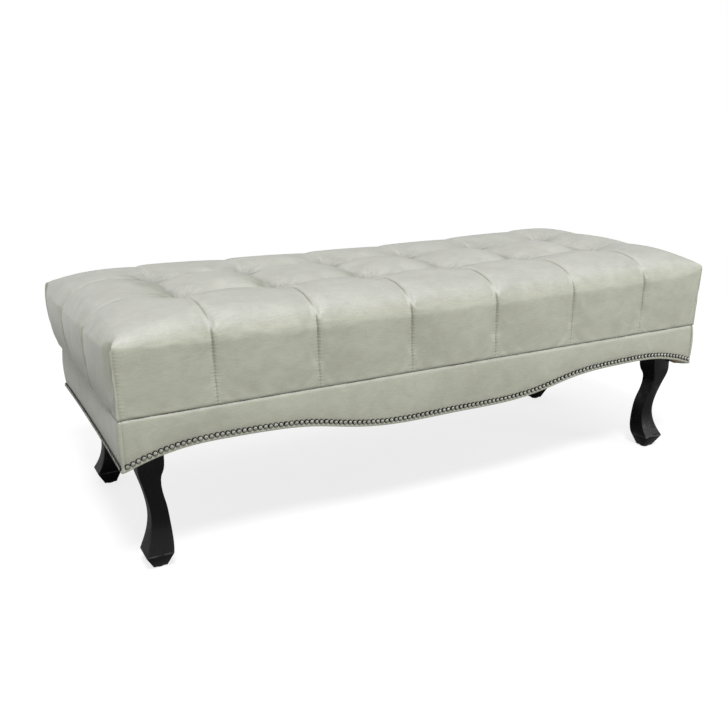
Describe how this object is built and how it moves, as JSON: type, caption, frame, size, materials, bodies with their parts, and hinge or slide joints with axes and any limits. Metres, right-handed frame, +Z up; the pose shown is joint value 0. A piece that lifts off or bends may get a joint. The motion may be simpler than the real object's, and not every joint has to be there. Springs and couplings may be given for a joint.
{
  "type": "upholstered bench",
  "caption": "Long low bench with a biscuit-tufted box seat, a scalloped nail-trimmed apron and black cabriole legs",
  "frame": {"origin": "floor level under the middle of the bench", "axes": "+X along the bench's length, +Y to the rear, +Z up"},
  "size_m": [1.4698, 0.6108, 0.5296],
  "materials": {
    "upholstery": "soft napped microfibre, pale grey green",
    "polyester_wadding": "bonded white wadding",
    "seat_foam": "cut upholstery foam",
    "frame_timber": "planed softwood",
    "plywood": "sanded plywood",
    "black_lacquer": "high gloss black lacquer",
    "glide_plastic": "moulded nylon",
    "tufting_twine": "waxed polyester twine",
    "tack_card": "grey brown card",
    "fastener_steel": "zinc plated",
    "antique_nails": "dark antiqued, half gloss",
    "dust_cloth": "black spunbond cloth"
  },
  "bodies": {
    "root": {"apron_cover_front": "upholstery", "apron_cover_left": "upholstery", "apron_cover_rear": "upholstery", "apron_cover_right": "upholstery", "apron_padding_front": "polyester_wadding", "apron_padding_left": "polyester_wadding", "apron_padding_rear": "polyester_wadding", "apron_padding_right": "polyester_wadding", "corner_block_front_left": "frame_timber", "corner_block_front_right": "frame_timber", "corner_block_rear_left": "frame_timber", "corner_block_rear_right": "frame_timber", "cross_rail_left": "frame_timber", "cross_rail_right": "frame_timber", "dust_cover": "dust_cloth", "foam_core": "seat_foam", "glide_front_left": "glide_plastic", "glide_front_right": "glide_plastic", "glide_rear_left": "glide_plastic", "glide_rear_right": "glide_plastic", "hanger_bolts": "fastener_steel", "leg_front_left": "black_lacquer", "leg_front_right": "black_lacquer", "leg_rear_left": "black_lacquer", "leg_rear_right": "black_lacquer", "nail_trim_front": "antique_nails", "nail_trim_left": "antique_nails", "nail_trim_rear": "antique_nails", "nail_trim_right": "antique_nails", "rail_front": "frame_timber", "rail_left": "frame_timber", "rail_rear": "frame_timber", "rail_right": "frame_timber", "seat_cover": "upholstery", "seat_deck": "plywood", "t_nuts": "fastener_steel", "tack_strips": "tack_card", "tuft_cords": "tufting_twine", "tuft_toggles": "frame_timber", "wadding": "polyester_wadding"}
  },
  "joints": []
}
